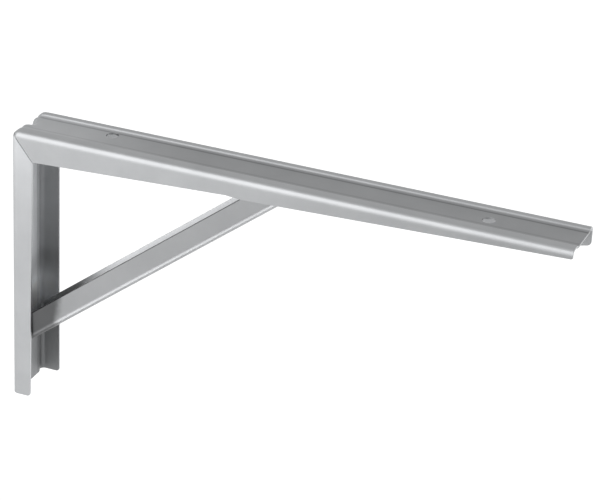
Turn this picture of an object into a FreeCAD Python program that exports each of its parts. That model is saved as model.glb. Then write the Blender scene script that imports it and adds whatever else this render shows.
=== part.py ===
import FreeCAD, Part
import math
import os

# Shelf bracket in zinc-coated sheet steel: an L-shaped pressing with a diagonal brace welded inside it.
# Frame: X runs from the wall along the arm, Y across, Z up. The origin is where the wall plane meets
# the shelf plane, midway across the width. Lengths are in millimetres, angles in degrees.

# Overall sizes
ARM_LENGTH = 300.0            # wall plane to the free end of the arm
UPRIGHT_HEIGHT = 152.5        # shelf plane to the lower end of the upright
WIDTH = 33.0                  # across the outer faces of the side walls
SHEET = 1.2                   # sheet thickness of both pieces

# Pressed section: two ridges that bear on wall and shelf, with a sunk web between them
CORNER_RADIUS = 3.3           # outer radius between ridge and side wall
NEAR_RIDGE_INSET = 6.4        # near side face to where its ridge starts to fall towards the web
FAR_RIDGE_INSET = 4.1         # the same on the far side, whose ridge is narrower
RECESS_DEPTH = 1.2            # ridge face to web face
STEP_RUN = 2.8                # width of the double curve that leads from ridge to web

# Bend from upright to arm
BEND_AXIS_INSET = 0.5         # the bend's axis lies this much deeper than the ends of the corner arcs
MITRE_GAP = 0.3               # slit between the two side walls that meet at the mitre
MITRE_REACH = 2.4             # how far the slit runs in from the side face
DART_REACH = 8.0              # wall plane and shelf plane to the tips of the dart pressed into the bend
DART_Y = 1.6                  # middle of the dart across the width
DART_SLOPE = 55.0             # slope of its flanks
DART_RADIUS = 0.8             # radius along its bottom, on the outer face

# Side walls, each size measured square from the ridge face to the wall's free edge
ARM_WALL_AT_MITRE = 15.2
ARM_WALL_AT_BRACE = 10.8      # near wall, where the brace comes out of it
ARM_WALL_AT_TIP = 4.6         # near wall
FAR_WALL_NEAR_TIP = 12.3      # far wall, where its end bevel starts
FAR_WALL_AT_TIP = 10.9
FAR_BEVEL_RUN = 6.0           # length of the far wall's end bevel
SHOULDER_DROP = 0.7           # the near wall deepens by this beside the brace
SHOULDER_RUN = 8.0
UPRIGHT_WALL_AT_MITRE = 12.3  # near wall
UPRIGHT_WALL_AT_FOOT = 10.7
FAR_UPRIGHT_AT_MITRE = 11.4   # far wall
FAR_UPRIGHT_AT_FOOT = 11.6
FREE_CORNER_RADIUS = 1.8      # rounding of the walls' free corners

# Brace: a channel whose flanges stand inside the side walls
BRACE_FOOT_RISE = 24.7        # upright's lower end to where the brace's outer face meets the wall plane
BRACE_REACH = 162.8           # wall plane to where the brace's outer face meets the shelf plane
BRACE_FLANGE = 12.8           # near flange, over the outer face
BRACE_FAR_FLANGE = 11.2
BRACE_SPLAY = 4.0             # lean of each flange, outwards at its free edge
BRACE_RADIUS = 4.0            # outer radius between flange and web
SIDE_CLEARANCE = 0.15         # free edge of each flange to the side wall beside it
END_CLEARANCE = 0.9           # each end of the brace to the web that it points at

# Screw holes
SCREW_HOLE_DIAMETER = 6.5
INNER_HOLE_X = 47.2
INNER_HOLE_Y = 5.4
OUTER_HOLE_FROM_TIP = 47.7
OUTER_HOLE_Y = -0.2
UPPER_HOLE_DROP = 38.0
LOWER_HOLE_RISE = 12.0
WALL_HOLE_Y = -3.0

# Sizes that follow from the ones above
HALF_WIDTH = WIDTH / 2
BEND_RADIUS = CORNER_RADIUS + BEND_AXIS_INSET
WEB_INNER = RECESS_DEPTH + SHEET
STEP_RADIUS = (STEP_RUN ** 2 + RECESS_DEPTH ** 2) / (4 * RECESS_DEPTH)
STEP_TURN = 2 * math.degrees(math.atan(RECESS_DEPTH / STEP_RUN))
BRACE_WIDTH = WIDTH - 2 * (SHEET + SIDE_CLEARANCE)
BRACE_FOOT_DROP = UPRIGHT_HEIGHT - BRACE_FOOT_RISE
BRACE_SLOPE = BRACE_FOOT_DROP / BRACE_REACH
BRACE_ANGLE = math.degrees(math.atan(BRACE_SLOPE))

Vector = FreeCAD.Vector
ACROSS = Vector(0, 1, 0)
BEND_AXIS = Vector(BEND_RADIUS, 0, -BEND_RADIUS)


def arc_edge(centre, radius, start_angle, end_angle, place):
    """Circular edge between two angles, with its points put in space by place(u, v)."""
    points = []
    for share in (0.0, 0.5, 1.0):
        angle = math.radians(start_angle + share * (end_angle - start_angle))
        points.append(place(centre[0] + radius * math.cos(angle), centre[1] + radius * math.sin(angle)))
    return Part.Arc(*points).toShape()


def line_edge(start, end):
    return Part.LineSegment(start, end).toShape()


def half_skin(side, inset):
    """Edges of half the section, from the top of one side wall to the middle of the web.

    side is -1 for the near half and 1 for the far half. inset is 0 for the outer face and SHEET for
    the inner face.
    """
    def place(across, height):
        return Vector(BEND_RADIUS, side * across, height)

    ridge_inset = NEAR_RIDGE_INSET if side < 0 else FAR_RIDGE_INSET
    corner = (HALF_WIDTH - CORNER_RADIUS, -CORNER_RADIUS)
    crest = (HALF_WIDTH - ridge_inset, -STEP_RADIUS)
    foot = (crest[0] - STEP_RUN, STEP_RADIUS - RECESS_DEPTH)
    corner_arc = arc_edge(corner, CORNER_RADIUS - inset, 0, 90, place)
    crest_arc = arc_edge(crest, STEP_RADIUS - inset, 90, 90 + STEP_TURN, place)
    foot_arc = arc_edge(foot, STEP_RADIUS + inset, STEP_TURN - 90, -90, place)
    ridge = line_edge(corner_arc.Vertexes[-1].Point, crest_arc.Vertexes[0].Point)
    web = line_edge(foot_arc.Vertexes[-1].Point, place(0, -RECESS_DEPTH - inset))
    return [corner_arc, ridge, crest_arc, foot_arc, web]


def skin_section():
    """Closed section of ridges, steps and web, at the plane where the bend meets the arm."""
    edges = []
    for side in (-1, 1):
        edges += half_skin(side, 0.0) + half_skin(side, SHEET)
        edges.append(line_edge(Vector(BEND_RADIUS, side * HALF_WIDTH, -CORNER_RADIUS),
                               Vector(BEND_RADIUS, side * (HALF_WIDTH - SHEET), -CORNER_RADIUS)))
    wire = Part.Wire(Part.__sortEdges__(edges))
    return Part.Face(wire)


def rounded_outline(corners, place):
    """Closed wire through (u, v, radius) corners, each rounded by its own radius."""
    edges = []
    joins = []
    count = len(corners)
    for index, (u, v, radius) in enumerate(corners):
        here = Vector(u, v, 0)
        before = Vector(*corners[index - 1][:2], 0) - here
        after = Vector(*corners[(index + 1) % count][:2], 0) - here
        if radius == 0:
            joins.append((here, None, here))
            continue
        half_angle = before.getAngle(after) / 2
        setback = radius / math.tan(half_angle)
        bisector = (before.normalize() + after.normalize()).normalize()
        middle = here + bisector * (radius / math.sin(half_angle) - radius)
        joins.append((here + before * setback, middle, here + after * setback))
    for index, (start, middle, end) in enumerate(joins):
        if middle is not None:
            edges.append(Part.Arc(place(start), place(middle), place(end)).toShape())
        following = joins[(index + 1) % count][0]
        if (following - end).Length > 1e-6:
            edges.append(line_edge(place(end), place(following)))
    return Part.Wire(edges)


def brace_edge_height(x, flange):
    """Height of a brace flange's free edge above the point x of the wall-to-tip line."""
    return -BRACE_FOOT_DROP + BRACE_SLOPE * x + flange / math.cos(math.radians(BRACE_ANGLE))


def shoulder_end():
    """X where the brace's near flange comes out from behind the near side wall."""
    return (-ARM_WALL_AT_BRACE - brace_edge_height(0, BRACE_FLANGE)) / BRACE_SLOPE


def side_wall(arm_edge, upright_at_mitre, upright_at_foot, side):
    """One L-shaped side wall. arm_edge lists the corners of the arm's free edge from the tip inwards."""
    corners = [(ARM_LENGTH, -CORNER_RADIUS, 0)]
    corners += arm_edge
    corners += [
        (upright_at_mitre, -ARM_WALL_AT_MITRE, 0),
        (upright_at_foot, -UPRIGHT_HEIGHT, FREE_CORNER_RADIUS),
        (CORNER_RADIUS, -UPRIGHT_HEIGHT, 0),
        (CORNER_RADIUS, -CORNER_RADIUS, BEND_RADIUS - CORNER_RADIUS),
    ]
    wire = rounded_outline(corners, lambda point: Vector(point.x, side * HALF_WIDTH, point.y))
    return Part.Face(wire).extrude(Vector(0, -side * SHEET, 0))


def mitre_slit(upright_at_mitre, side):
    """Thin cutter along the mitre, from the inner corner of a side wall out to the bend."""
    inner = Vector(upright_at_mitre, 0, -ARM_WALL_AT_MITRE)
    bend_middle = BEND_RADIUS * (1 - math.sqrt(0.5))
    outer = Vector(bend_middle, 0, -bend_middle)
    along = (inner - outer).normalize()
    square = along.cross(ACROSS) * (MITRE_GAP / 2)
    start = outer - along * SHEET
    end = inner + along * SHEET
    y_start = side * (HALF_WIDTH + SHEET)
    loop = [start + square, end + square, end - square, start - square, start + square]
    face = Part.Face(Part.makePolygon([point + ACROSS * y_start for point in loop]))
    return face.extrude(ACROSS * (-side * (MITRE_REACH + SHEET)))


def dart_prism(lowering, radius):
    """Prism above a V with a round bottom, laid across the bend at 45 degrees.

    lowering shifts the V square from its flanks towards the inside of the bend.
    """
    outward = Vector(-1, 0, 1).normalize()
    along = Vector(1, 0, 1).normalize()
    slope = math.radians(DART_SLOPE)
    bottom = -(RECESS_DEPTH + DART_REACH) / math.sqrt(2) - lowering / math.cos(slope)
    top = bottom + DART_REACH
    spread = DART_REACH / math.tan(slope)
    corners = [(-spread, top, 0), (0, bottom, radius), (spread, top, 0)]
    start = ACROSS * DART_Y - along * DART_REACH
    wire = rounded_outline(corners, lambda point: start + ACROSS * point.x + outward * point.y)
    return Part.Face(wire).extrude(along * (2 * DART_REACH))


def dart_wall():
    """Sheet under the dart, where the bend is pressed in to stiffen it, before the groove is cut out."""
    root = WEB_INNER - SHEET / 5
    depth = 2 * DART_REACH
    inside = Part.makeBox(depth, WIDTH, depth, Vector(root, -HALF_WIDTH, -root - depth))
    return dart_prism(SHEET, DART_RADIUS + SHEET).common(inside)


def screw_hole(position, direction):
    """Cutter for one screw hole through the sunk web, starting at the ridge face."""
    depth = WEB_INNER + SHEET
    return Part.makeCylinder(SCREW_HOLE_DIAMETER / 2, depth, position, direction)


def make_pressing():
    """The L-shaped pressing: ridged skin swept round the bend, with its folded and mitred side walls."""
    section = skin_section()
    arm = section.extrude(Vector(ARM_LENGTH - BEND_RADIUS, 0, 0))
    bend = section.revolve(BEND_AXIS, ACROSS, -90)
    foot_section = section.copy()
    foot_section.rotate(BEND_AXIS, ACROSS, -90)
    upright = foot_section.extrude(Vector(0, 0, BEND_RADIUS - UPRIGHT_HEIGHT))

    brace_x = shoulder_end()
    near_edge = [
        (ARM_LENGTH, -ARM_WALL_AT_TIP, min(FREE_CORNER_RADIUS, (ARM_WALL_AT_TIP - CORNER_RADIUS) * 0.8)),
        (brace_x, -ARM_WALL_AT_BRACE, 0),
        (brace_x - SHOULDER_RUN, -ARM_WALL_AT_BRACE + SHOULDER_DROP, 0),
    ]
    far_edge = [
        (ARM_LENGTH, -FAR_WALL_AT_TIP, FREE_CORNER_RADIUS),
        (ARM_LENGTH - FAR_BEVEL_RUN, -FAR_WALL_NEAR_TIP, 0),
    ]
    near_wall = side_wall(near_edge, UPRIGHT_WALL_AT_MITRE, UPRIGHT_WALL_AT_FOOT, -1)
    far_wall = side_wall(far_edge, FAR_UPRIGHT_AT_MITRE, FAR_UPRIGHT_AT_FOOT, 1)
    pressing = arm.fuse([bend, upright, near_wall, far_wall, dart_wall()]).removeSplitter()

    down = Vector(0, 0, -1)
    out = Vector(1, 0, 0)
    cutters = [
        mitre_slit(UPRIGHT_WALL_AT_MITRE, -1),
        mitre_slit(FAR_UPRIGHT_AT_MITRE, 1),
        dart_prism(0, DART_RADIUS),
        screw_hole(Vector(INNER_HOLE_X, INNER_HOLE_Y, 0), down),
        screw_hole(Vector(ARM_LENGTH - OUTER_HOLE_FROM_TIP, OUTER_HOLE_Y, 0), down),
        screw_hole(Vector(0, WALL_HOLE_Y, -UPPER_HOLE_DROP), out),
        screw_hole(Vector(0, WALL_HOLE_Y, LOWER_HOLE_RISE - UPRIGHT_HEIGHT), out),
    ]
    return pressing.cut(cutters)


def flange_side(side, height):
    """Across place of a leaning brace flange's outer face at a height over the brace's outer face."""
    lean = math.tan(math.radians(BRACE_SPLAY))
    top = BRACE_FLANGE if side < 0 else BRACE_FAR_FLANGE
    return side * (BRACE_WIDTH / 2 - (top - height) * lean)


def make_brace():
    """The diagonal brace: a channel section laid along the slope and trimmed to the two webs."""
    wall = SHEET / math.cos(math.radians(BRACE_SPLAY))
    inner_radius = BRACE_RADIUS - SHEET
    outline = [
        (flange_side(-1, BRACE_FLANGE), BRACE_FLANGE, 0),
        (flange_side(-1, 0), 0, BRACE_RADIUS),
        (flange_side(1, 0), 0, BRACE_RADIUS),
        (flange_side(1, BRACE_FAR_FLANGE), BRACE_FAR_FLANGE, 0),
        (flange_side(1, BRACE_FAR_FLANGE) - wall, BRACE_FAR_FLANGE, 0),
        (flange_side(1, SHEET) - wall, SHEET, inner_radius),
        (flange_side(-1, SHEET) + wall, SHEET, inner_radius),
        (flange_side(-1, BRACE_FLANGE) + wall, BRACE_FLANGE, 0),
    ]
    wire = rounded_outline(outline, lambda point: Vector(0, point.x, point.y))
    overrun = UPRIGHT_HEIGHT / 2
    length = math.hypot(BRACE_REACH, BRACE_FOOT_DROP) + 2 * overrun
    channel = Part.Face(wire).extrude(Vector(length, 0, 0))
    channel.translate(Vector(-overrun, 0, 0))
    channel.rotate(Vector(0, 0, 0), ACROSS, -BRACE_ANGLE)
    channel.translate(Vector(0, 0, -BRACE_FOOT_DROP))
    seat = WEB_INNER + END_CLEARANCE
    room = Part.makeBox(ARM_LENGTH, WIDTH, 2 * UPRIGHT_HEIGHT,
                        Vector(seat, -HALF_WIDTH, -2 * UPRIGHT_HEIGHT - seat))
    return channel.common(room)


def main():
    os.makedirs("parts", exist_ok=True)
    pieces = {"pressing": make_pressing(), "brace": make_brace()}
    for name, shape in pieces.items():
        print(name, "valid", shape.isValid(), "solids", len(shape.Solids), "volume", round(shape.Volume, 1))
        shape.exportStep("parts/" + name + ".step")


main()
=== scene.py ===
"""Shelf bracket in zinc-coated sheet steel, modelled and lit as a studio product photograph."""
import logging
import math
from collections.abc import Callable
from dataclasses import dataclass, field
from enum import Enum

import bmesh
import bpy
from mathutils import Matrix, Vector


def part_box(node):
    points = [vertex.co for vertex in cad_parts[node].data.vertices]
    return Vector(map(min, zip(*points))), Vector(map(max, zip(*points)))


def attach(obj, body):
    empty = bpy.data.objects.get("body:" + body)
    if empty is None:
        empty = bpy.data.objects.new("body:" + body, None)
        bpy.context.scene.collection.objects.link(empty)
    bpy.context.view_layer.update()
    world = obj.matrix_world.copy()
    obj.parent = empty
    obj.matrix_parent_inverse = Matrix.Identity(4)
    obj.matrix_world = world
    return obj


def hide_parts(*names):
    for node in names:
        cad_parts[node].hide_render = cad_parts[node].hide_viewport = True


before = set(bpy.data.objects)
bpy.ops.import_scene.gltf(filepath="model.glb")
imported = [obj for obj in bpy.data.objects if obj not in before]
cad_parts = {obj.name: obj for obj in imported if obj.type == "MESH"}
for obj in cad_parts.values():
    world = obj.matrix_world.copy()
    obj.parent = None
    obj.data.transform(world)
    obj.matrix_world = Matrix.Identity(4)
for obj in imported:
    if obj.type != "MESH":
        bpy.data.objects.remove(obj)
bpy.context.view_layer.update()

MM = 0.001
TOUCH = 0.01 * MM
ALONG = Vector((1.0, 0.0, 0.0))
ACROSS = Vector((0.0, 1.0, 0.0))
UP = Vector((0.0, 0.0, 1.0))
LOG = logging.getLogger("shelf_bracket")

# A start and an end, a place or a colour, and what an input of a node takes.
Span = tuple[float, float]
Triple = tuple[float, float, float]
Value = bpy.types.NodeSocket | float


class Side(Enum):
    """The two sides of the bracket, as the sign of their place across it."""

    NEAR = -1
    FAR = 1


class Grip(Enum):
    """What a selection takes hold of, by the name of the select mode."""

    POINTS = "VERT"
    EDGES = "EDGE"
    FACES = "FACE"


class Falloff(Enum):
    """How the sheet around a pressed spot follows it, by the name of the curve."""

    SHARP = "SHARP"
    SMOOTH = "SMOOTH"


class Sheen(Enum):
    """Roughness of the zinc coat, as rolled and where the sheet was worked."""

    ROLLED = 0.40
    WORKED = 0.46


def same(first: float, second: float) -> bool:
    """Says whether two lengths agree within the touching distance."""
    return abs(first - second) < TOUCH


def between(stops: list[Span], place: float) -> float:
    """Reads a value off a broken line.

    Args:
        stops: corners of the line, as place and value, in rising order of place.
        place: where the value is wanted.

    Returns:
        The value at that place.
    """
    for (start, low), (end, high) in zip(stops, stops[1:]):
        if place <= end + TOUCH:
            return low + (high - low) * (place - start) / (end - start)
    return stops[-1][1]


class SheetBench:
    """Draws, folds and trims one piece of sheet in edit mode, as by hand."""

    drill_sides: int = 64
    corner_parts: int = 5
    edge_parts: int = 2
    edge_angle: float = math.radians(50.0)
    smooth_angle: float = math.radians(40.0)
    area_weight: int = 50

    def __init__(self, name: str, start: Vector) -> None:
        """Starts the piece as a single point.

        Args:
            name: the piece's name.
            start: place of the point.
        """
        bpy.ops.object.select_all(action="DESELECT")
        bpy.ops.mesh.primitive_plane_add(size=MM, location=(0.0, 0.0, 0.0))
        self.piece = bpy.context.object
        self.piece.name = name
        self.piece.data.name = name
        bpy.ops.object.mode_set(mode="EDIT")
        bpy.ops.mesh.select_mode(type=Grip.POINTS.value)
        bpy.ops.mesh.select_all(action="SELECT")
        bpy.ops.mesh.merge(type="CENTER")
        bpy.ops.transform.translate(value=start)
        self.tip = start.copy()

    def line_to(self, place: Vector, parts: int = 1) -> None:
        """Draws a straight line from the last point.

        Args:
            place: where the line ends.
            parts: how many equal parts it is drawn with.
        """
        step = (place - self.tip) / parts
        for _ in range(parts):
            bpy.ops.mesh.extrude_vertices_move(TRANSFORM_OT_translate={"value": step})
        self.tip = place.copy()

    def arc_about(self, centre: Vector, axis: Vector, degrees: float, parts: int) -> None:
        """Draws an arc from the last point.

        Args:
            centre: the arc's centre.
            axis: the axis that the arc turns about, by the right hand.
            degrees: how far it turns.
            parts: how many straight parts it is drawn with.
        """
        self.turn_about(centre, axis, degrees, parts)
        self.tip = centre + Matrix.Rotation(math.radians(degrees), 3, axis) @ (self.tip - centre)

    def turn_about(self, centre: Vector, axis: Vector, degrees: float, parts: int) -> None:
        """Spins what is selected about an axis, by the right hand."""
        bpy.ops.mesh.spin(steps=parts, angle=-math.radians(degrees), center=centre, axis=axis)

    def select(self, grip: Grip, test: Callable[[Vector], bool]) -> None:
        """Selects every point, edge or face whose points all pass a test.

        Args:
            grip: whether points, edges or faces are picked.
            test: says whether a point at a place passes.
        """
        bpy.ops.mesh.select_mode(type=grip.value)
        bpy.ops.mesh.select_all(action="DESELECT")
        work = bmesh.from_edit_mesh(self.piece.data)
        if grip is Grip.POINTS:
            for point in work.verts:
                if test(point.co):
                    point.select_set(True)
        else:
            for part in work.edges if grip is Grip.EDGES else work.faces:
                if all(test(point.co) for point in part.verts):
                    part.select_set(True)
        bmesh.update_edit_mesh(self.piece.data)

    def sweep(self, move: Vector) -> None:
        """Extrudes what is selected by a move."""
        bpy.ops.mesh.extrude_region_move(TRANSFORM_OT_translate={"value": move})

    def shift(self, move: Vector) -> None:
        """Moves what is selected."""
        bpy.ops.transform.translate(value=move)

    def push(self, move: Vector, reach: float, falloff: Falloff) -> None:
        """Moves what is selected and draws its surroundings along.

        Args:
            move: how far the selected points go.
            reach: how far away a point still follows.
            falloff: how the points follow.
        """
        bpy.ops.transform.translate(value=move, use_proportional_edit=True,
                                    proportional_edit_falloff=falloff.value, proportional_size=reach)

    def round_points(self, radius: float) -> None:
        """Rounds the selected corners of the sheet's outline."""
        bpy.ops.mesh.bevel(offset=radius, segments=self.corner_parts, profile=0.5, affect="VERTICES")

    def trim(self, place: Vector, outward: Vector) -> None:
        """Cuts the piece off at a plane, closes the cut and drops what lies outward of it.

        Args:
            place: a place on the plane.
            outward: the plane's normal, towards what is dropped.
        """
        bpy.ops.object.mode_set(mode="EDIT")
        bpy.ops.mesh.select_all(action="SELECT")
        bpy.ops.mesh.bisect(plane_co=place, plane_no=outward, use_fill=True, clear_outer=True)
        bpy.ops.object.mode_set(mode="OBJECT")

    def settle(self) -> None:
        """Merges double points, so that the parts of the sheet hold together."""
        bpy.ops.mesh.select_all(action="SELECT")
        bpy.ops.mesh.remove_doubles(threshold=TOUCH)

    def face_outward(self, test: Callable[[Vector], bool], outward: Vector) -> None:
        """Turns every face to the outer side of the sheet.

        Args:
            test: picks the points of faces whose outer side is known.
            outward: where those faces look on their outer side.
        """
        bpy.ops.mesh.select_all(action="SELECT")
        bpy.ops.mesh.normals_make_consistent(inside=False)
        self.select(Grip.FACES, test)
        known = [face for face in bmesh.from_edit_mesh(self.piece.data).faces if face.select]
        leaning = sum(face.normal.dot(outward) for face in known)
        bpy.ops.mesh.select_all(action="SELECT")
        if leaning < 0.0:
            bpy.ops.mesh.flip_normals()

    def apply(self, kind: str, **settings: object) -> None:
        """Adds a modifier to the piece and applies it.

        Args:
            kind: Blender's name of the modifier's type.
            settings: the modifier's properties, by name.
        """
        if bpy.context.mode != "OBJECT":
            bpy.ops.object.mode_set(mode="OBJECT")
        modifier = self.piece.modifiers.new(kind.lower(), kind)
        for name, value in settings.items():
            setattr(modifier, name, value)
        bpy.ops.object.select_all(action="DESELECT")
        self.piece.select_set(True)
        bpy.context.view_layer.objects.active = self.piece
        bpy.ops.object.modifier_apply(modifier=modifier.name)

    def thicken(self, sheet: float) -> None:
        """Gives the sheet its thickness, inwards from its outer face."""
        self.apply("SOLIDIFY", thickness=sheet, offset=-1.0, use_even_offset=True,
                   use_quality_normals=True)

    def drill(self, centre: Vector, axis: Vector, radius: float, depth: float) -> None:
        """Drills one round hole.

        Args:
            centre: place that the drill goes through.
            axis: the drill's direction, along X or Z.
            radius: the hole's radius.
            depth: length of the drill, with the centre at its middle.
        """
        bpy.ops.object.select_all(action="DESELECT")
        turn = (0.0, math.pi / 2, 0.0) if axis == ALONG else (0.0, 0.0, 0.0)
        bpy.ops.mesh.primitive_cylinder_add(vertices=self.drill_sides, radius=radius, depth=depth,
                                            location=centre, rotation=turn)
        self.cut_with(bpy.context.object)

    def saw(self, start: Vector, end: Vector, width: float, gap: float) -> None:
        """Saws one straight slit square to the side of the bracket.

        Args:
            start: one end of the slit's middle line.
            end: its other end.
            width: how wide the saw is across the bracket.
            gap: how wide the slit is.
        """
        bpy.ops.object.select_all(action="DESELECT")
        run = end - start
        bpy.ops.mesh.primitive_cube_add(size=1.0, location=(start + end) / 2.0,
                                        scale=(run.length, width, gap),
                                        rotation=(0.0, math.atan2(-run.z, run.x), 0.0))
        self.cut_with(bpy.context.object)

    def cut_with(self, tool: bpy.types.Object) -> None:
        """Takes a tool's shape out of the piece and puts the tool away."""
        self.apply("BOOLEAN", operation="DIFFERENCE", object=tool, solver="EXACT")
        bpy.data.objects.remove(tool)

    def break_edges(self, width: float) -> None:
        """Breaks the sharp edges."""
        self.apply("BEVEL", width=width, segments=self.edge_parts, limit_method="ANGLE",
                   angle_limit=self.edge_angle, use_clamp_overlap=False)

    def smooth(self) -> None:
        """Smooths the folds and keeps flat faces flat."""
        bpy.ops.object.shade_smooth_by_angle(angle=self.smooth_angle)
        self.apply("WEIGHTED_NORMAL", mode="FACE_AREA", weight=self.area_weight, keep_sharp=True)


@dataclass
class Section:
    """Rolled section of the pressing: two ridges with a sunk web between them."""

    half_width: float
    corner: float = 3.3 * MM
    near_inset: float = 6.4 * MM
    far_inset: float = 4.1 * MM
    depth: float = 1.2 * MM
    run: float = 2.8 * MM
    corner_parts: int = 10
    step_parts: int = 5
    web_parts: int = 28

    def draw(self, name: str, root: float) -> SheetBench:
        """Draws the section's outer line at the plane where the bend meets the arm.

        Args:
            name: name of the new piece.
            root: distance of the bend's axis from the wall plane and from the shelf plane.

        Returns:
            The bench with the drawn line.
        """
        def spot(across: float, height: float) -> Vector:
            """Gives a place on the plane that the section is drawn on."""
            return Vector((root, across, height))

        step = (self.run ** 2 + self.depth ** 2) / (4.0 * self.depth)
        turn = 2.0 * math.degrees(math.atan(self.depth / self.run))
        near = -self.half_width
        far = self.half_width
        crest, foot = near + self.near_inset, near + self.near_inset + self.run
        far_crest, far_foot = far - self.far_inset, far - self.far_inset - self.run
        bench = SheetBench(name, spot(near, -root))
        bench.line_to(spot(near, -self.corner))
        bench.arc_about(spot(near + self.corner, -self.corner), ALONG, -90.0, self.corner_parts)
        bench.line_to(spot(crest, 0.0))
        bench.arc_about(spot(crest, -step), ALONG, -turn, self.step_parts)
        bench.arc_about(spot(foot, step - self.depth), ALONG, turn, self.step_parts)
        bench.line_to(spot(far_foot, -self.depth), self.web_parts)
        bench.arc_about(spot(far_foot, step - self.depth), ALONG, turn, self.step_parts)
        bench.arc_about(spot(far_crest, -step), ALONG, -turn, self.step_parts)
        bench.line_to(spot(far - self.corner, 0.0))
        bench.arc_about(spot(far - self.corner, -self.corner), ALONG, -90.0, self.corner_parts)
        bench.line_to(spot(far, -root))
        return bench


@dataclass
class SideWall:
    """Free edge of one side wall, as depths from the ridge face."""

    side: Side
    mitre: float
    foot: float
    stops: list[Span]
    tip_radius: float

    @property
    def tip(self) -> float:
        """Gives the wall's depth at the tip of the arm."""
        return self.stops[-1][1]


@dataclass(frozen=True)
class Press:
    """One spot pressed into the bend, or out of it where its depth is negative."""

    place: float
    depth: float
    reach: float
    falloff: Falloff


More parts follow.
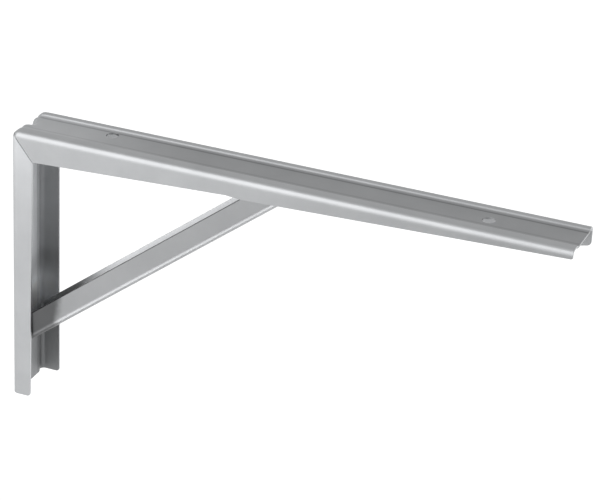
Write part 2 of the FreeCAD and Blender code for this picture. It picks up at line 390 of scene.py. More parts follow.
@dataclass
class Pressing:
    """The L-shaped pressing, folded and mitred from one sheet."""

    sheet: float = 1.2 * MM
    bend: float = 3.8 * MM
    mitre_depth: float = 15.2 * MM
    near_mitre: float = 12.3 * MM
    far_mitre: float = 11.4 * MM
    mitre_gap: float = 0.3 * MM
    mitre_reach: float = 2.4 * MM
    near_foot: float = 10.7 * MM
    far_foot: float = 11.6 * MM
    foot_radius: float = 1.8 * MM
    shoulder: Span = (120.4 * MM, 128.4 * MM)
    shoulder_depths: Span = (10.1 * MM, 10.8 * MM)
    near_tip: float = 4.6 * MM
    near_tip_radius: float = 1.0 * MM
    bevel_run: float = 6.0 * MM
    far_bevel_depth: float = 12.3 * MM
    far_tip: float = 10.9 * MM
    presses: tuple[Press, ...] = (
        Press(place=1.6 * MM, depth=3.2 * MM, reach=6.0 * MM, falloff=Falloff.SHARP),
        Press(place=-4.5 * MM, depth=-1.0 * MM, reach=6.0 * MM, falloff=Falloff.SMOOTH),
        Press(place=6.5 * MM, depth=-0.5 * MM, reach=5.0 * MM, falloff=Falloff.SMOOTH),
        Press(place=12.5 * MM, depth=0.6 * MM, reach=6.0 * MM, falloff=Falloff.SMOOTH),
    )
    press_width: float = 0.5 * MM
    hole_radius: float = 3.25 * MM
    hole_middle: float = 1.8 * MM
    drill_sheets: float = 4.0
    corner_hole: Span = (47.2 * MM, 5.4 * MM)
    tip_hole: Span = (47.7 * MM, -0.2 * MM)
    upright_holes: Span = (38.0 * MM, 12.0 * MM)
    upright_holes_across: float = -3.0 * MM
    edge: float = 0.18 * MM
    corner_parts: int = 9
    bend_parts: int = 16

    def __post_init__(self) -> None:
        """Takes the overall sizes from the frame and sets out the side walls."""
        low, high = (Vector(corner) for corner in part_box("pressing"))
        self.length = high.x
        self.height = -low.z
        self.section = Section(half_width=high.y)
        start, end = self.shoulder
        bevel = self.length - self.bevel_run
        self.walls = [
            SideWall(Side.NEAR, self.near_mitre, self.near_foot,
                     [(self.near_mitre, self.mitre_depth), (start, self.shoulder_depths[0]),
                      (end, self.shoulder_depths[1]), (self.length, self.near_tip)],
                     self.near_tip_radius),
            SideWall(Side.FAR, self.far_mitre, self.far_foot,
                     [(self.far_mitre, self.mitre_depth), (bevel, self.far_bevel_depth),
                      (self.length, self.far_tip)],
                     self.foot_radius),
        ]
        part = (self.far_mitre - self.bend) / self.corner_parts
        corner = [self.bend + part * count for count in range(1, self.corner_parts + 1)]
        self.arm_stations = corner + [self.near_mitre, start, end, bevel, self.length]
        self.foot_stations = corner + [self.mitre_depth, self.height]
        top, bottom = self.upright_holes
        self.holes = [
            (Vector((self.corner_hole[0], self.corner_hole[1], -self.hole_middle)), UP),
            (Vector((self.length - self.tip_hole[0], self.tip_hole[1], -self.hole_middle)), UP),
            (Vector((self.hole_middle, self.upright_holes_across, -top)), ALONG),
            (Vector((self.hole_middle, self.upright_holes_across, bottom - self.height)), ALONG),
        ]

    def sweep_skin(self, bench: SheetBench) -> None:
        """Draws the section out along the arm, round the bend and down the upright.

        Args:
            bench: the bench that holds the section's line.
        """
        bpy.ops.mesh.select_all(action="SELECT")
        place = self.bend
        for station in self.arm_stations:
            bench.sweep(ALONG * (station - place))
            place = station
        bench.select(Grip.EDGES, lambda point: same(point.x, self.bend))
        axis_place = Vector((self.bend, 0.0, -self.bend))
        bench.turn_about(axis_place, ACROSS, -90.0, self.bend_parts)
        place = self.bend
        for station in self.foot_stations:
            bench.sweep(-UP * (station - place))
            place = station
        bench.settle()

    def fold_wall(self, bench: SheetBench, wall: SideWall) -> None:
        """Folds one side wall inwards from both arms and fills its corner.

        Args:
            bench: the bench that holds the skin.
            wall: the side wall's sizes.
        """
        side_place = wall.side.value * self.section.half_width
        root = self.bend

        def on_side(point: Vector) -> bool:
            """Says whether a point lies on the wall's side of the bracket."""
            return same(point.y, side_place)

        bench.select(Grip.EDGES, lambda point: on_side(point) and same(point.z, -root)
                     and point.x > wall.mitre - TOUCH)
        bench.sweep(-UP * (self.mitre_depth - root))
        for station in self.arm_stations:
            if station > wall.mitre + TOUCH:
                bench.select(Grip.POINTS, lambda point: on_side(point) and same(point.x, station)
                             and same(point.z, -self.mitre_depth))
                bench.shift(UP * (self.mitre_depth - between(wall.stops, station)))
        bench.select(Grip.EDGES, lambda point: on_side(point) and same(point.x, root)
                     and point.z < TOUCH - self.mitre_depth)
        bench.sweep(ALONG * (wall.mitre - root))
        bench.select(Grip.POINTS, lambda point: on_side(point) and same(point.x, wall.mitre)
                     and same(point.z, -self.height))
        bench.shift(ALONG * (wall.foot - wall.mitre))
        bench.settle()
        bench.select(Grip.POINTS, lambda point: on_side(point)
                     and root - TOUCH < point.x < wall.mitre + TOUCH
                     and -self.mitre_depth - TOUCH < point.z < TOUCH - root)
        bpy.ops.mesh.edge_face_add()

    def round_corners(self, bench: SheetBench, wall: SideWall) -> None:
        """Rounds the free corners of one side wall at the foot and at the tip.

        Args:
            bench: the bench that holds the folded skin.
            wall: the side wall's sizes.
        """
        side_place = wall.side.value * self.section.half_width
        bench.select(Grip.POINTS, lambda point: same(point.y, side_place) and same(point.x, wall.foot)
                     and same(point.z, -self.height))
        bench.round_points(self.foot_radius)
        bench.select(Grip.POINTS, lambda point: same(point.y, side_place) and same(point.x, self.length)
                     and same(point.z, -wall.tip))
        bench.round_points(wall.tip_radius)

    def slit_mitre(self, bench: SheetBench, wall: SideWall) -> None:
        """Saws the slit between the arm's and the upright's side walls.

        Args:
            bench: the bench that holds the thick sheet.
            wall: sizes of the side wall that the mitre divides.
        """
        place = ACROSS * (wall.side.value * self.section.half_width)
        middle = self.bend * (1.0 - math.sqrt(0.5))
        outer = Vector((middle, 0.0, -middle))
        inner = Vector((wall.mitre, 0.0, -self.mitre_depth))
        overrun = (inner - outer).normalized() * self.sheet
        bench.saw(place + outer - overrun, place + inner + overrun,
                  2.0 * self.mitre_reach, self.mitre_gap)

    def press_dart(self, bench: SheetBench) -> None:
        """Presses the dart into the middle of the bend and shapes the ridges beside it.

        Args:
            bench: the bench that holds the folded skin.
        """
        inward = (ALONG - UP).normalized()
        for press in self.presses:
            bench.select(Grip.POINTS, lambda point: same(point.x, -point.z)
                         and abs(point.y - press.place) < self.press_width)
            bench.push(inward * press.depth, press.reach, press.falloff)

    def build(self) -> bpy.types.Object:
        """Makes the whole pressing.

        Returns:
            The finished piece, without its coat.
        """
        bench = self.section.draw("pressed_sheet", self.bend)
        self.sweep_skin(bench)
        for wall in self.walls:
            self.fold_wall(bench, wall)
        self.press_dart(bench)
        for wall in self.walls:
            self.round_corners(bench, wall)
        bench.settle()
        bench.face_outward(lambda point: same(point.z, -self.section.depth), UP)
        bench.thicken(self.sheet)
        for centre, axis in self.holes:
            bench.drill(centre, axis, self.hole_radius, self.drill_sheets * self.sheet)
        bench.break_edges(self.edge)
        for wall in self.walls:
            self.slit_mitre(bench, wall)
        bench.smooth()
        return bench.piece


@dataclass
class Brace:
    """The diagonal channel welded inside the side walls."""

    foot_rise: float = 24.7 * MM
    reach: float = 162.8 * MM
    near_flange: float = 12.8 * MM
    far_flange: float = 11.2 * MM
    splay: float = 4.0
    flare: float = 14.0
    flare_height: float = 4.0 * MM
    radius: float = 4.0 * MM
    sheet: float = 1.2 * MM
    seat: float = 3.3 * MM
    overrun: float = 30.0 * MM
    edge: float = 0.18 * MM
    arc_parts: int = 10

    def __post_init__(self) -> None:
        """Takes the width and the slope from the frame."""
        self.half_width = Vector(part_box("brace")[1]).y
        self.drop = -Vector(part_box("pressing")[0]).z - self.foot_rise
        self.angle = math.atan2(self.drop, self.reach)

    def spot(self, across: float, height: float) -> Vector:
        """Gives a place in the section at the brace's lower end, before it is cut off.

        Args:
            across: place across the bracket.
            height: height over the outer face of the brace's web, square to the slope.

        Returns:
            The place.
        """
        back = -self.overrun
        return Vector((back * math.cos(self.angle) - height * math.sin(self.angle), across,
                       back * math.sin(self.angle) + height * math.cos(self.angle) - self.drop))

    def build(self) -> bpy.types.Object:
        """Makes the brace.

        Returns:
            The finished piece, without its coat.
        """
        lean = math.radians(self.splay)
        slope = Vector((math.cos(self.angle), 0.0, math.sin(self.angle)))
        near_foot = -self.half_width + self.near_flange * math.tan(lean)
        flare_place = self.half_width - self.flare_height * math.tan(math.radians(self.flare))
        far_foot = flare_place - (self.far_flange - self.flare_height) * math.tan(lean)
        setback = self.radius * (1.0 - math.sin(lean)) / math.cos(lean)
        near_centre = near_foot + setback
        far_centre = far_foot - setback
        rise = self.radius * (1.0 - math.sin(lean))
        bench = SheetBench("brace_channel", self.spot(-self.half_width, self.near_flange))
        bench.line_to(self.spot(near_centre - self.radius * math.cos(lean), rise))
        bench.arc_about(self.spot(near_centre, self.radius), slope, 90.0 - self.splay, self.arc_parts)
        bench.line_to(self.spot(far_centre, 0.0))
        bench.arc_about(self.spot(far_centre, self.radius), slope, 90.0 - self.splay, self.arc_parts)
        bench.line_to(self.spot(flare_place, self.far_flange - self.flare_height))
        bench.line_to(self.spot(self.half_width, self.far_flange))
        bpy.ops.mesh.select_all(action="SELECT")
        length = math.hypot(self.reach, self.drop)
        bench.sweep(slope * (length + 2.0 * self.overrun))
        bench.settle()
        web_place = self.spot(0.0, 0.0)
        outward = Vector((math.sin(self.angle), 0.0, -math.cos(self.angle)))
        bench.face_outward(lambda point: same((point - web_place).dot(outward), 0.0), outward)
        bench.thicken(self.sheet)
        bench.trim(ALONG * self.seat, -ALONG)
        bench.trim(-UP * self.seat, UP)
        bench.break_edges(self.edge)
        bench.smooth()
        return bench.piece


class NodeBench:
    """Lays out the nodes of one material or world and joins them."""

    noise_roughness: float = 0.6

    def __init__(self, owner: bpy.types.Material | bpy.types.World) -> None:
        """Empties the owner's tree and keeps it ready for new nodes."""
        owner.use_nodes = True
        self.tree = owner.node_tree
        self.tree.nodes.clear()

    def add(self, kind: str, **settings: object) -> bpy.types.Node:
        """Adds one node.

        Args:
            kind: Blender's type name of the node, without "ShaderNode".
            settings: properties, or inputs by name with spaces as underscores.

        Returns:
            The new node.
        """
        node = self.tree.nodes.new("ShaderNode" + kind)
        for name, value in settings.items():
            if hasattr(node, name):
                setattr(node, name, value)
            else:
                node.inputs[name.replace("_", " ")].default_value = value
        return node

    def join(self, source: bpy.types.NodeSocket, target: bpy.types.NodeSocket) -> None:
        """Links one output socket to one input socket."""
        self.tree.links.new(source, target)

    def feed(self, value: Value, target: bpy.types.NodeSocket) -> None:
        """Gives an input its value.

        Args:
            value: a socket to link, or a number to set.
            target: the input.
        """
        if isinstance(value, bpy.types.NodeSocket):
            self.join(value, target)
        else:
            target.default_value = value

    def math(self, operation: str, *operands: Value) -> bpy.types.NodeSocket:
        """Adds a math node.

        Args:
            operation: Blender's name of the operation.
            operands: what it works on, in order.

        Returns:
            The result's socket.
        """
        node = self.add("Math", operation=operation)
        for operand, socket in zip(operands, node.inputs):
            self.feed(operand, socket)
        return node.outputs[0]

    def fade(self, value: bpy.types.NodeSocket, start: float, end: float) -> bpy.types.NodeSocket:
        """Leads a value softly from 0 at one place to 1 at another.

        Args:
            value: the socket that holds the place.
            start: where the result is 0.
            end: where the result is 1.

        Returns:
            The result's socket.
        """
        ramp = self.add("MapRange", interpolation_type="SMOOTHSTEP", clamp=True)
        if start < end:
            ramp.inputs["From Min"].default_value = start
            ramp.inputs["From Max"].default_value = end
        else:
            ramp.inputs["From Min"].default_value = end
            ramp.inputs["From Max"].default_value = start
            ramp.inputs["To Min"].default_value = 1.0
            ramp.inputs["To Max"].default_value = 0.0
        self.join(value, ramp.inputs["Value"])
        return ramp.outputs["Result"]

    def noise(self, place: bpy.types.NodeSocket, scale: float, detail: float) -> bpy.types.NodeSocket:
        """Adds a noise pattern.

        Args:
            place: the socket that holds the place.
            scale: how fine the pattern is.
            detail: how many finer layers it has.

        Returns:
            The pattern's socket.
        """
        node = self.add("TexNoise", Scale=scale, Detail=detail,
                        Roughness=self.noise_roughness)
        self.join(place, node.inputs["Vector"])
        return node.outputs["Fac"]


@dataclass(frozen=True)
class ZincFinish:
    """Satin zinc coat on cold-rolled steel."""

    name: str
    pale: Triple = (0.580, 0.590, 0.601)
    dull: Triple = (0.530, 0.540, 0.551)
    sheen: Sheen = Sheen.ROLLED
    cloud_scale: float = 45.0
    cloud_detail: float = 4.0
    cloud_edges: Span = (0.3, 0.7)
    grain_scale: float = 2600.0
    grain_detail: float = 3.0
    grain_spread: float = 0.08
    grain_strength: float = 0.10
    grain_height: float = 0.02 * MM

    def material(self) -> bpy.types.Material:
        """Builds the finish as a procedural material.

        Returns:
            The material.
        """
        made = bpy.data.materials.new(self.name)
        bench = NodeBench(made)
        place = bench.add("TexCoord").outputs["Object"]
        parts = bench.add("SeparateXYZ")
        bench.join(place, parts.inputs[0])
        cloud = bench.noise(place, self.cloud_scale, self.cloud_detail)
        grain = bench.noise(place, self.grain_scale, self.grain_detail)
        tone = bench.add("ValToRGB")
        for stop, edge, colour in zip(tone.color_ramp.elements, self.cloud_edges, (self.dull, self.pale)):
            stop.position = edge
            stop.color = (*colour, 1.0)
        bench.join(cloud, tone.inputs["Fac"])
        shade = bench.add("HueSaturation")
        bench.join(tone.outputs["Color"], shade.inputs["Color"])
        # The brightness carries any painted light and shade of the coat.
        bench.feed(self.brightness(bench, parts, cloud), shade.inputs["Value"])
        rough = bench.math("MULTIPLY_ADD", grain, self.grain_spread, self.roughness(bench, parts))
        bump = bench.add("Bump", Strength=self.grain_strength, Distance=self.grain_height)
        bench.join(grain, bump.inputs["Height"])
        metal = bench.add("BsdfPrincipled", Metallic=1.0)
        bench.join(shade.outputs["Color"], metal.inputs["Base Color"])
        bench.join(rough, metal.inputs["Roughness"])
        bench.join(bump.outputs["Normal"], metal.inputs["Normal"])
        output = bench.add("OutputMaterial")
        bench.join(metal.outputs["BSDF"], output.inputs["Surface"])
        return made

    def brightness(self, bench: NodeBench, parts: bpy.types.Node, cloud: bpy.types.NodeSocket) -> Value:
        """Gives the coat's brightness over the piece, as a share of its plain tone."""
        return 1.0

    def roughness(self, bench: NodeBench, parts: bpy.types.Node) -> Value:
        """Gives the coat's least roughness over the piece."""
        return self.sheen.value - self.grain_spread / 2.0


@dataclass(frozen=True)
class StepShade:
    """One painted shade line along the web at the foot of a step, by its place across the bracket."""

    place: float
    shade_depth: float


@dataclass(frozen=True)
class SheetFinish(ZincFinish):
    """Coat of the pressing: worked on the upright, roughest inside it, with painted light and shade.

    Each span gives where a tone starts and where it is full.
    """

    mitre_slope: float = 1.259
    mitre_edge: Span = (-0.5 * MM, -0.1 * MM)
    near_wall: Span = (-15.4 * MM, -16.0 * MM)
    # Painted light on the upright's near wall, strongest towards the mitre.
    upright_painted_light: float = 0.12
    mitre_painted_light: float = 0.22
    mitre_glow: Span = (-45.0 * MM, -8.0 * MM)
    # Painted light and shade inside the upright: lighter behind the brace, darker low down and by the
    # near wall.
    inside_painted_light: float = 0.17
    low_painted_shade: float = 0.55
    low: Span = (-76.0 * MM, -92.0 * MM)
    behind_painted_light: float = 1.10
    behind_top: Span = (-80.0 * MM, -100.0 * MM)
    behind_end: Span = (-122.0 * MM, -106.0 * MM)
    near_half_painted_shade: float = 0.80
    near_half: Span = (-3.0 * MM, -8.0 * MM)
    inner_face: Span = (1.5 * MM, 1.9 * MM)
    inner_turn: Span = (0.2, 0.5)
    inner_side: Span = (15.5 * MM, 15.35 * MM)
    inner_top: Span = (-6.0 * MM, -16.0 * MM)
    inside_roughness: float = 0.16
    # Painted light on the web near the bend, turning to painted shade along the arm.
    web_painted_light: float = 0.12
    web_painted_shade: float = 0.34
    web_start: Span = (5.0 * MM, 100.0 * MM)
    web_depth: Span = (-0.4 * MM, -1.1 * MM)
    web_side: Span = (12.6 * MM, 11.6 * MM)
    # Painted shade lines along the web at the feet of its steps.
    step_shades: tuple[StepShade, ...] = (
        StepShade(place=8.5 * MM, shade_depth=0.30),
        StepShade(place=-5.4 * MM, shade_depth=0.12),
    )
    step_shade_width: Span = (0.9 * MM, 0.2 * MM)

    def brightness(self, bench: NodeBench, parts: bpy.types.Node, cloud: bpy.types.NodeSocket) -> Value:
        """Gives the painted light and shade of the upright's near wall, of its inside and of the arm's
        web.

        Args:
            bench: the material's nodes.
            parts: the node that splits the place into its coordinates.
            cloud: the coat's slow pattern, which this coat leaves out.

        Returns:
            The brightness.
        """
        # Painted light on the upright's near wall, rising towards the mitre.
        near = bench.math("MULTIPLY", self.upright_side(bench, parts),
                          bench.fade(parts.outputs["Y"], *self.near_wall))
        gain = bench.math("MULTIPLY_ADD", bench.fade(parts.outputs["Z"], *self.mitre_glow),
                          self.mitre_painted_light, self.upright_painted_light)
        wall = bench.math("MULTIPLY_ADD", near, gain, 1.0)
        # Painted light and shade inside the upright.
        change = bench.math("SUBTRACT", self.inside_painted_shading(bench, parts), 1.0)
        wall = bench.math("MULTIPLY_ADD", self.upright_inside(bench, parts), change, wall)
        return bench.math("MULTIPLY", wall, self.web_painted_shading(bench, parts))

    def upright_side(self, bench: NodeBench, parts: bpy.types.Node) -> bpy.types.NodeSocket:
        """Marks what lies on the upright's side of the mitre.

        Args:
            bench: the material's nodes.
            parts: the node that splits the place into its coordinates.

        Returns:
            1 on the upright and 0 on the arm.
        """
        below = bench.math("MULTIPLY_ADD", parts.outputs["X"], -self.mitre_slope,
                           bench.math("MULTIPLY", parts.outputs["Z"], -1.0))
        return bench.fade(below, *self.mitre_edge)

    def upright_inside(self, bench: NodeBench, parts: bpy.types.Node) -> bpy.types.NodeSocket:
        """Marks the inner faces of the upright.

        Args:
            bench: the material's nodes.
            parts: the node that splits the place into its coordinates.

        Returns:
            1 on the inner faces and 0 elsewhere.
        """
        normal = bench.add("SeparateXYZ")
        bench.join(bench.add("TexCoord").outputs["Normal"], normal.inputs[0])
        deep = bench.math("MAXIMUM", bench.fade(parts.outputs["X"], *self.inner_face),
                          bench.fade(normal.outputs["X"], *self.inner_turn))
        within = bench.fade(bench.math("ABSOLUTE", parts.outputs["Y"]), *self.inner_side)
        down = bench.fade(parts.outputs["Z"], *self.inner_top)
        return bench.math("MULTIPLY", bench.math("MULTIPLY", deep, within), down)

    def inside_painted_shading(self, bench: NodeBench, parts: bpy.types.Node) -> bpy.types.NodeSocket:
        """Paints light inside the upright, more behind the brace, and shade low down and by the near
        wall.

        Args:
            bench: the material's nodes.
            parts: the node that splits the place into its coordinates.

        Returns:
            The tone, as a share of the plain one.
        """
        # Painted shade low down over painted light, more painted light behind the brace, painted shade by
        # the near wall.
        low = bench.math("MULTIPLY_ADD", bench.fade(parts.outputs["Z"], *self.low),
                         -self.low_painted_shade, 1.0 + self.inside_painted_light)
        behind = bench.math("MULTIPLY", bench.fade(parts.outputs["Z"], *self.behind_top),
                            bench.fade(parts.outputs["Z"], *self.behind_end))
        tone = bench.math("MULTIPLY_ADD", behind, self.behind_painted_light, low)
        near_shade = bench.math("MULTIPLY_ADD", bench.fade(parts.outputs["Y"], *self.near_half),
                          -self.near_half_painted_shade, 1.0)
        return bench.math("MULTIPLY", tone, near_shade)

    def web_painted_shading(self, bench: NodeBench, parts: bpy.types.Node) -> bpy.types.NodeSocket:
        """Gives the arm's sunk web painted light near the bend, painted shade away from it and at its
        steps.

        Args:
            bench: the material's nodes.
            parts: the node that splits the place into its coordinates.

        Returns:
            The tone, as a share of the plain one.
        """
        sunk = bench.fade(parts.outputs["Z"], *self.web_depth)
        inside = bench.fade(bench.math("ABSOLUTE", parts.outputs["Y"]), *self.web_side)
        away = bench.fade(parts.outputs["X"], *self.web_start)
        # Painted light near the bend, turning to painted shade away from it.
        change = bench.math("MULTIPLY_ADD", away, -self.web_painted_shade, self.web_painted_light)
        # Painted shade lines at the feet of the web's steps.
        for step_shade in self.step_shades:
            offset = bench.math("ABSOLUTE", bench.math("SUBTRACT", parts.outputs["Y"], step_shade.place))
            line = bench.fade(offset, *self.step_shade_width)
            change = bench.math("MULTIPLY_ADD", line, -step_shade.shade_depth, change)
        return bench.math("MULTIPLY_ADD", bench.math("MULTIPLY", sunk, inside), change, 1.0)

    def roughness(self, bench: NodeBench, parts: bpy.types.Node) -> Value:
        """Roughens the coat on the upright's side of the mitre, and most inside the upright.

        Args:
            bench: the material's nodes.
            parts: the node that splits the place into its coordinates.

        Returns:
            The least roughness.
        """
        rise = Sheen.WORKED.value - self.sheen.value
        least = self.sheen.value - self.grain_spread / 2.0
        outside = bench.math("MULTIPLY_ADD", self.upright_side(bench, parts), rise, least)
        return bench.math("MULTIPLY_ADD", self.upright_inside(bench, parts),
                          self.inside_roughness, outside)


@dataclass(frozen=True)
class BraceFinish(ZincFinish):
    """Coat of the brace: painted shade at its lower end, painted light on the far flange.

    Each span gives where a tone starts and where it is full.
    """

    # Painted shade over the brace's lower end, half spared on the far flange.
    lower_end_painted_shade: float = 0.68
    lower_end_shade_reach: Span = (34.0 * MM, 28.0 * MM)
    lower_end_shade_wander: float = 10.0 * MM
    # Painted light on the far flange, stronger towards its lower end.
    far_flange: Span = (10.8 * MM, 12.4 * MM)
    far_painted_light: float = 0.46
    far_foot: Span = (80.0 * MM, 35.0 * MM)
    far_foot_painted_light: float = 0.30
    far_spared: float = 0.50
    slope: float = 0.6654
    cut_edge: Span = (-88.07 * MM, -87.87 * MM)
    edge_dulling: float = 0.70

    def brightness(self, bench: NodeBench, parts: bpy.types.Node, cloud: bpy.types.NodeSocket) -> Value:
        """Paints shade on the lower end and light on the far flange, and darkens the near flange's cut
        edge.

        Args:
            bench: the material's nodes.
            parts: the node that splits the place into its coordinates.
            cloud: the coat's slow pattern, which makes the border of the painted shade wander.

        Returns:
            The brightness.
        """
        # Painted shade over the lower end, with a wandering border.
        wander = bench.math("MULTIPLY_ADD", cloud, self.lower_end_shade_wander, parts.outputs["X"])
        end_shade = bench.fade(wander, *self.lower_end_shade_reach)
        far = bench.fade(parts.outputs["Y"], *self.far_flange)
        spared = bench.math("MULTIPLY_ADD", far, -self.far_spared, 1.0)
        end_shaded = bench.math("MULTIPLY_ADD", bench.math("MULTIPLY", end_shade, spared), -self.lower_end_painted_shade, 1.0)
        along = bench.math("MULTIPLY", parts.outputs["X"], -math.sin(self.slope))
        height = bench.math("MULTIPLY_ADD", parts.outputs["Z"], math.cos(self.slope), along)
        cut = bench.fade(height, *self.cut_edge)
        # Painted light on the far flange.
        gain = bench.math("MULTIPLY_ADD", bench.fade(parts.outputs["X"], *self.far_foot),
                          self.far_foot_painted_light, self.far_painted_light)
        pale = bench.math("MULTIPLY_ADD", far, gain, 1.0)
        tone = bench.math("MULTIPLY_ADD", cut, -self.edge_dulling, pale)
        return bench.math("MULTIPLY", end_shaded, tone)


@dataclass(frozen=True)
class FloorFinish:
    """Matt pale studio floor that shows bright behind and to the left of the bracket.

    Each span gives where the brightness starts and where it is full.
    """

    colour: Triple = (0.62, 0.62, 0.62)
    roughness: float = 0.9
    glow: float = 0.72
    back: Span = (-0.02, 0.14)
    front: Span = (-0.10, -0.80)
    front_share: float = 0.5
    left: Span = (0.22, -0.34)

    def material(self) -> bpy.types.Material:
        """Builds the floor's material.

        Returns:
            The material.
        """
        made = bpy.data.materials.new("studio_floor")
        bench = NodeBench(made)
        coat = bench.add("BsdfDiffuse", Color=(*self.colour, 1.0), Roughness=self.roughness)
        parts = bench.add("SeparateXYZ")
        bench.join(bench.add("TexCoord").outputs["Object"], parts.inputs[0])
        front = bench.math("MULTIPLY_ADD", bench.fade(parts.outputs["Y"], *self.front),
                           self.front_share, 1.0 - self.front_share)
        lit = bench.math("MULTIPLY", bench.fade(parts.outputs["X"], *self.left), front)
        bright = bench.math("MAXIMUM", bench.fade(parts.outputs["Y"], *self.back), lit)
        path = bench.add("LightPath")
        seen = bench.math("MAXIMUM", path.outputs["Is Camera Ray"], path.outputs["Is Glossy Ray"])
        seen = bench.math("MAXIMUM", seen, path.outputs["Is Transmission Ray"])
        strength = bench.math("MULTIPLY", bench.math("MULTIPLY", seen, bright), self.glow)
        glow = bench.add("Emission")
        bench.join(strength, glow.inputs["Strength"])
        both = bench.add("AddShader")
        bench.join(coat.outputs["BSDF"], both.inputs[0])
        bench.join(glow.outputs["Emission"], both.inputs[1])
        output = bench.add("OutputMaterial")
        bench.join(both.outputs["Shader"], output.inputs["Surface"])
        return made


@dataclass
class PhotoCamera:
    """The photograph's camera, by its turns about a point on the bracket and its distance from it."""

    yaw: float = 0.3739
    pitch: float = 0.4551
    roll: float = 0.0474
    lens: float = 155.93
    sensor: float = 36.0
    distance: float = 1.3053
    target: Triple = (0.15502, 0.0, -0.03956)

    def make(self) -> bpy.types.Object:
        """Places the camera and makes it the scene's own.

        Returns:
            The camera object.
        """
        forward = Vector((-math.sin(self.yaw) * math.cos(self.pitch),
                          math.cos(self.yaw) * math.cos(self.pitch),
                          -math.sin(self.pitch)))
        level = Vector((math.cos(self.yaw), math.sin(self.yaw), 0.0))
        upright = level.cross(forward)
        right = level * math.cos(self.roll) + upright * math.sin(self.roll)
        up = upright * math.cos(self.roll) - level * math.sin(self.roll)
        data = bpy.data.cameras.new("photo_camera")
        data.sensor_fit = "HORIZONTAL"
        data.sensor_width = self.sensor
        data.lens = self.lens
        camera = bpy.data.objects.new("photo_camera", data)
        bpy.context.scene.collection.objects.link(camera)
        turn = Matrix((right, up, -forward)).transposed().to_4x4()
        camera.matrix_world = Matrix.Translation(Vector(self.target) - forward * self.distance) @ turn
        bpy.context.scene.camera = camera
        return camera


@dataclass(frozen=True)
class Softbox:
    """One soft area lamp that points at the bracket."""

    name: str
    place: Triple
    aim: Triple
    size: Span
    watts: float
    spread: float = 180.0

    def make(self) -> bpy.types.Object:
        """Hangs the lamp, out of the camera's sight.

        Returns:
            The lamp.
        """
        data = bpy.data.lights.new(self.name, "AREA")
        data.shape = "RECTANGLE"
        data.size, data.size_y = self.size
        data.energy = self.watts
        data.spread = math.radians(self.spread)
        lamp = bpy.data.objects.new(self.name, data)
        lamp.visible_camera = False
        lamp.location = self.place
        lamp.rotation_mode = "QUATERNION"
        lamp.rotation_quaternion = (Vector(self.aim) - Vector(self.place)).to_track_quat("-Z", "Y")
        bpy.context.scene.collection.objects.link(lamp)
        return lamp


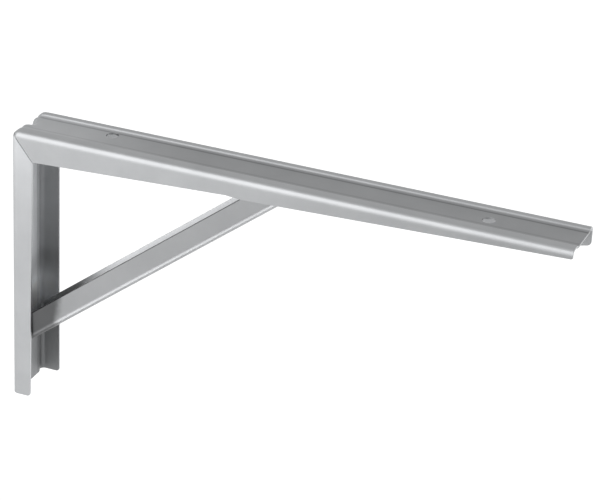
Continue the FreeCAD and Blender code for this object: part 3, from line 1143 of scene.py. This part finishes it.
@dataclass
class Studio:
    """Floor, surroundings and lamps around the bracket."""

    floor_height: float = -0.30
    floor_size: float = 12.0
    dim: float = 0.34
    overhead: float = 0.22
    overhead_rise: Span = (0.0, 0.4)
    horizon: float = 0.40
    horizon_band: Span = (0.35, 0.05)
    horizon_back: Span = (0.0, 0.8)
    lift: float = 0.15
    lift_from: Triple = (-0.55, -0.80, 0.20)
    lift_spread: Span = (-0.2, 0.9)
    lamps: tuple[Softbox, ...] = (
        Softbox("key_softbox", place=(-0.29, -0.68, 0.48), aim=(0.10, 0.0, -0.05),
                size=(1.0, 1.2), watts=3.9),
        Softbox("low_bounce", place=(0.17, -0.10, -0.29), aim=(0.17, -0.03, 0.0),
                size=(0.40, 0.16), watts=0.115, spread=95.0),
    )

    def build_floor(self) -> bpy.types.Object:
        """Lays the floor under the bracket.

        Returns:
            The floor.
        """
        bpy.ops.mesh.primitive_plane_add(size=self.floor_size, location=(0.0, 0.0, self.floor_height))
        floor = bpy.context.object
        floor.name = "studio_floor"
        floor.data.materials.append(FloorFinish().material())
        return floor

    def build_world(self) -> bpy.types.World:
        """Surrounds the bracket with soft light, brighter above, behind and to the front left.

        Returns:
            The world.
        """
        world = bpy.data.worlds.new("studio_surroundings")
        bpy.context.scene.world = world
        bench = NodeBench(world)
        direction = bench.add("TexCoord").outputs["Generated"]
        facing = bench.add("VectorMath", operation="DOT_PRODUCT")
        bench.join(direction, facing.inputs[0])
        facing.inputs[1].default_value = Vector(self.lift_from).normalized()
        parts = bench.add("SeparateXYZ")
        bench.join(direction, parts.inputs[0])
        level = bench.math("MULTIPLY_ADD", bench.fade(parts.outputs["Z"], *self.overhead_rise),
                           self.overhead, self.dim)
        band = bench.fade(bench.math("ABSOLUTE", parts.outputs["Z"]), *self.horizon_band)
        behind = bench.math("MULTIPLY", band, bench.fade(parts.outputs["Y"], *self.horizon_back))
        level = bench.math("MULTIPLY_ADD", behind, self.horizon, level)
        lit = bench.fade(facing.outputs["Value"], *self.lift_spread)
        glow = bench.add("Background", Color=(1.0, 1.0, 1.0, 1.0))
        bench.join(bench.math("MULTIPLY_ADD", lit, self.lift, level), glow.inputs["Strength"])
        output = bench.add("OutputWorld")
        bench.join(glow.outputs["Background"], output.inputs["Surface"])
        return world

    def build(self) -> None:
        """Builds the whole studio and reports each piece."""
        for piece in (self.build_floor(), self.build_world(), *(lamp.make() for lamp in self.lamps)):
            LOG.info("studio: %s", piece.name)


@dataclass
class Bracket:
    """The two welded pieces of the bracket."""

    pressing: Pressing = field(default_factory=Pressing)
    brace: Brace = field(default_factory=Brace)
    sheet_coat: ZincFinish = SheetFinish("zinc_coat_on_sheet")
    brace_coat: ZincFinish = BraceFinish("zinc_coat_on_brace",
                                         pale=(0.524, 0.532, 0.542), dull=(0.479, 0.487, 0.497))

    def build(self) -> None:
        """Makes both pieces, coats them and lets them replace the CAD nodes."""
        for node, slot, maker, coat in (("pressing", "zinc_sheet", self.pressing, self.sheet_coat),
                                        ("brace", "zinc_brace", self.brace, self.brace_coat)):
            piece = maker.build()
            piece.data.materials.clear()
            piece.data.materials.append(coat.material())
            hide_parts(node)
            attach(piece, "root")
            LOG.info("bracket: %s, %d faces", piece.name, len(piece.data.polygons))


def main() -> None:
    """Builds the bracket, the studio and the camera in order."""
    logging.basicConfig(level=logging.INFO, format="%(name)s %(message)s")
    bpy.context.scene.view_settings.view_transform = "Standard"
    Bracket().build()
    Studio().build()
    camera = PhotoCamera().make()
    LOG.info("camera: %s, lens %.1f mm", camera.name, camera.data.lens)


if __name__ == "__main__":
    main()
